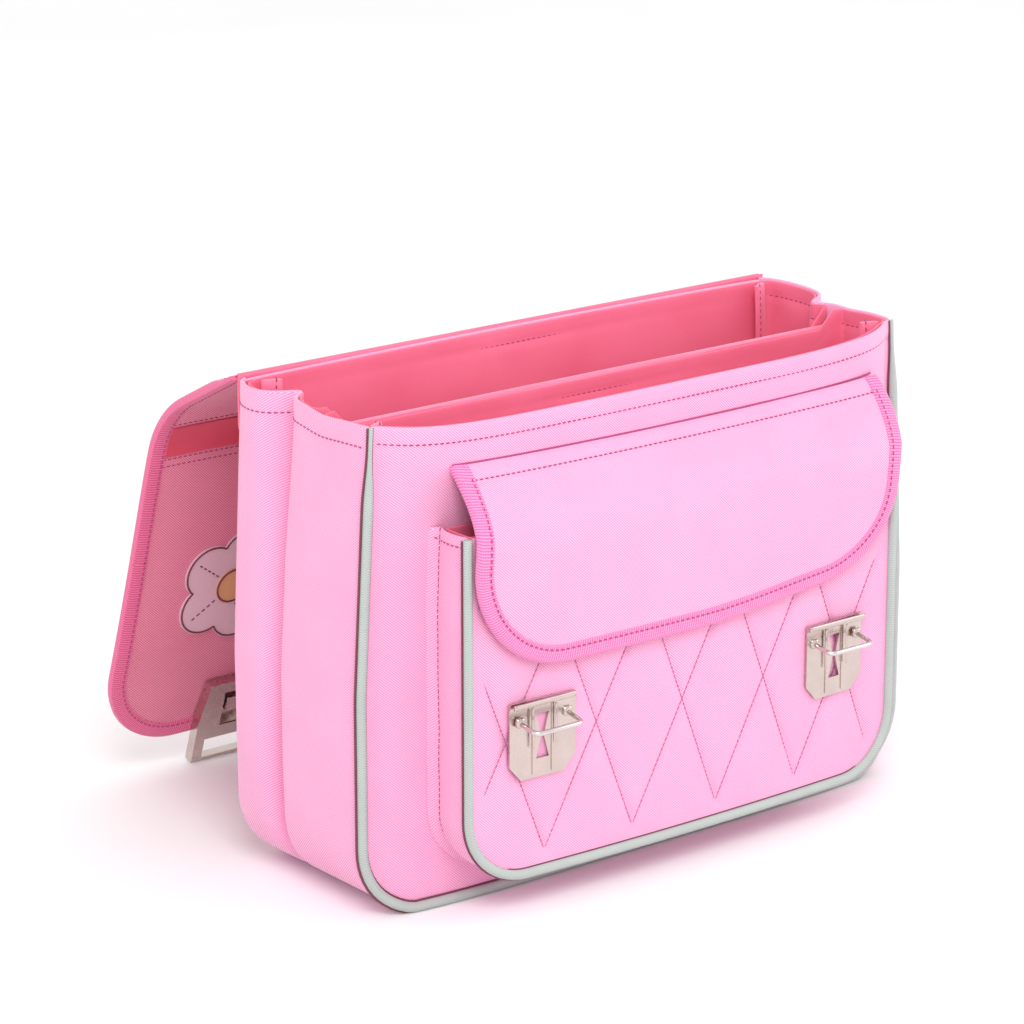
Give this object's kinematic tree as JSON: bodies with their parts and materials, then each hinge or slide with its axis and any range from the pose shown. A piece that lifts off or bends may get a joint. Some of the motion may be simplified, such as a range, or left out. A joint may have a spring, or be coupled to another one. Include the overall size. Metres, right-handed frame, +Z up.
{
  "type": "school satchel",
  "caption": "Soft school satchel with lined compartments, a bellows front pocket, a fold-over main flap with push locks, a carry handle and shoulder straps.",
  "frame": {"origin": "centre of the base, on the surface the bag stands on", "axes": "+X across the front, -Y towards the front with the pocket, +Z up"},
  "size_m": [0.37, 0.3101, 0.2646],
  "materials": {
    "pink_twill": "woven twill",
    "coral_lining": "smooth lining",
    "webbing": "ribbed webbing",
    "grey_piping": "reflective piping",
    "nickel": "nickel plated",
    "board": "stiffener sheet",
    "adjuster_plastic": "moulded",
    "patch_cloth": "felted patch"
  },
  "bodies": {
    "root": {"front_panel": "pink_twill", "back_panel": "pink_twill", "gusset_front": "pink_twill", "gusset_back": "pink_twill", "base_board": "board", "divider": "coral_lining", "divider_board": "board", "back_board": "board", "back_pad": "pink_twill", "front_lining": "coral_lining", "rear_lining": "coral_lining", "front_piping": "grey_piping", "pocket_front": "pink_twill", "pocket_gusset": "pink_twill", "pocket_lining": "coral_lining", "pocket_piping": "grey_piping", "pocket_loop_patch": "webbing", "flap_seam_strip": "pink_twill", "lock_plate_left": "nickel", "lock_plate_right": "nickel", "lock_loop_left": "nickel", "lock_loop_right": "nickel", "lock_backing_left": "nickel", "lock_backing_right": "nickel", "strap_left": "pink_twill", "strap_right": "pink_twill", "strap_webbing_left": "webbing", "strap_webbing_right": "webbing", "strap_adjuster_left": "adjuster_plastic", "strap_adjuster_right": "adjuster_plastic", "strap_anchor_left": "pink_twill", "strap_anchor_right": "pink_twill"},
    "pocket_flap": {"pocket_flap": "pink_twill", "pocket_flap_binding": "webbing", "pocket_hook_patch": "webbing"},
    "flap_top": {"flap_hinge_strip": "pink_twill", "flap_yoke": "pink_twill", "flap_yoke_binding": "webbing", "handle_tabs": "webbing"},
    "flap_mid": {"flap_bridge": "pink_twill", "flap_band": "coral_lining", "flap_bridge_binding": "webbing"},
    "flap_upper": {"flap_panel_upper": "pink_twill", "flap_binding_upper": "webbing", "flap_patch_upper": "patch_cloth"},
    "flap_lower": {"flap_panel_lower": "pink_twill", "flap_binding_lower": "webbing", "flap_patch_lower": "patch_cloth", "lock_case_left": "nickel", "lock_case_right": "nickel", "lock_case_rivets": "nickel", "bolt_spring_left": "nickel", "bolt_spring_right": "nickel"},
    "bolt_left": {"lock_bolt_left": "nickel"},
    "bolt_right": {"lock_bolt_right": "nickel"},
    "handle": {"handle_rings": "nickel", "handle_grip": "webbing"}
  },
  "joints": [
    {"name": "flap_hinge", "type": "hinge", "parent": "root", "child": "flap_top", "pos_m": [0, 0.054, 0.2645], "axis": [1, 0, 0], "range_deg": [0, 205]},
    {"name": "flap_back_fold", "type": "hinge", "parent": "flap_top", "child": "flap_mid", "pos_m": [0, 0.11926, 0.2264], "axis": [1, 0, 0], "range_deg": [0, 43.3]},
    {"name": "flap_front_fold", "type": "hinge", "parent": "flap_mid", "child": "flap_upper", "pos_m": [0, 0.14254, 0.17156], "axis": [1, 0, 0], "range_deg": [0, 69.1]},
    {"name": "flap_pocket_fold", "type": "hinge", "parent": "flap_upper", "child": "flap_lower", "pos_m": [0, 0.16423, 0.10711], "axis": [1, 0, 0], "range_deg": [0, 25.7]},
    {"name": "pocket_flap_hinge", "type": "hinge", "parent": "root", "child": "pocket_flap", "pos_m": [0, -0.0735, 0.241], "axis": [1, 0, 0], "range_deg": [-150, 0]},
    {"name": "bolt_slide_left", "type": "slide", "parent": "flap_lower", "child": "bolt_left", "axis": [0, 0.319, -0.9478], "range_m": [0, 0.01]},
    {"name": "bolt_slide_right", "type": "slide", "parent": "flap_lower", "child": "bolt_right", "axis": [0, 0.319, -0.9478], "range_m": [0, 0.01]},
    {"name": "handle_swing", "type": "hinge", "parent": "flap_top", "child": "handle", "pos_m": [0, 0.08555, 0.23832], "axis": [1, 0, 0], "range_deg": [-22, 35]}
  ],
  "couplings": [
    {"joint": "flap_back_fold", "follows": "flap_hinge", "ratio": 0.2111},
    {"joint": "flap_front_fold", "follows": "flap_hinge", "ratio": 0.337},
    {"joint": "flap_pocket_fold", "follows": "flap_hinge", "ratio": 0.1253}
  ]
}
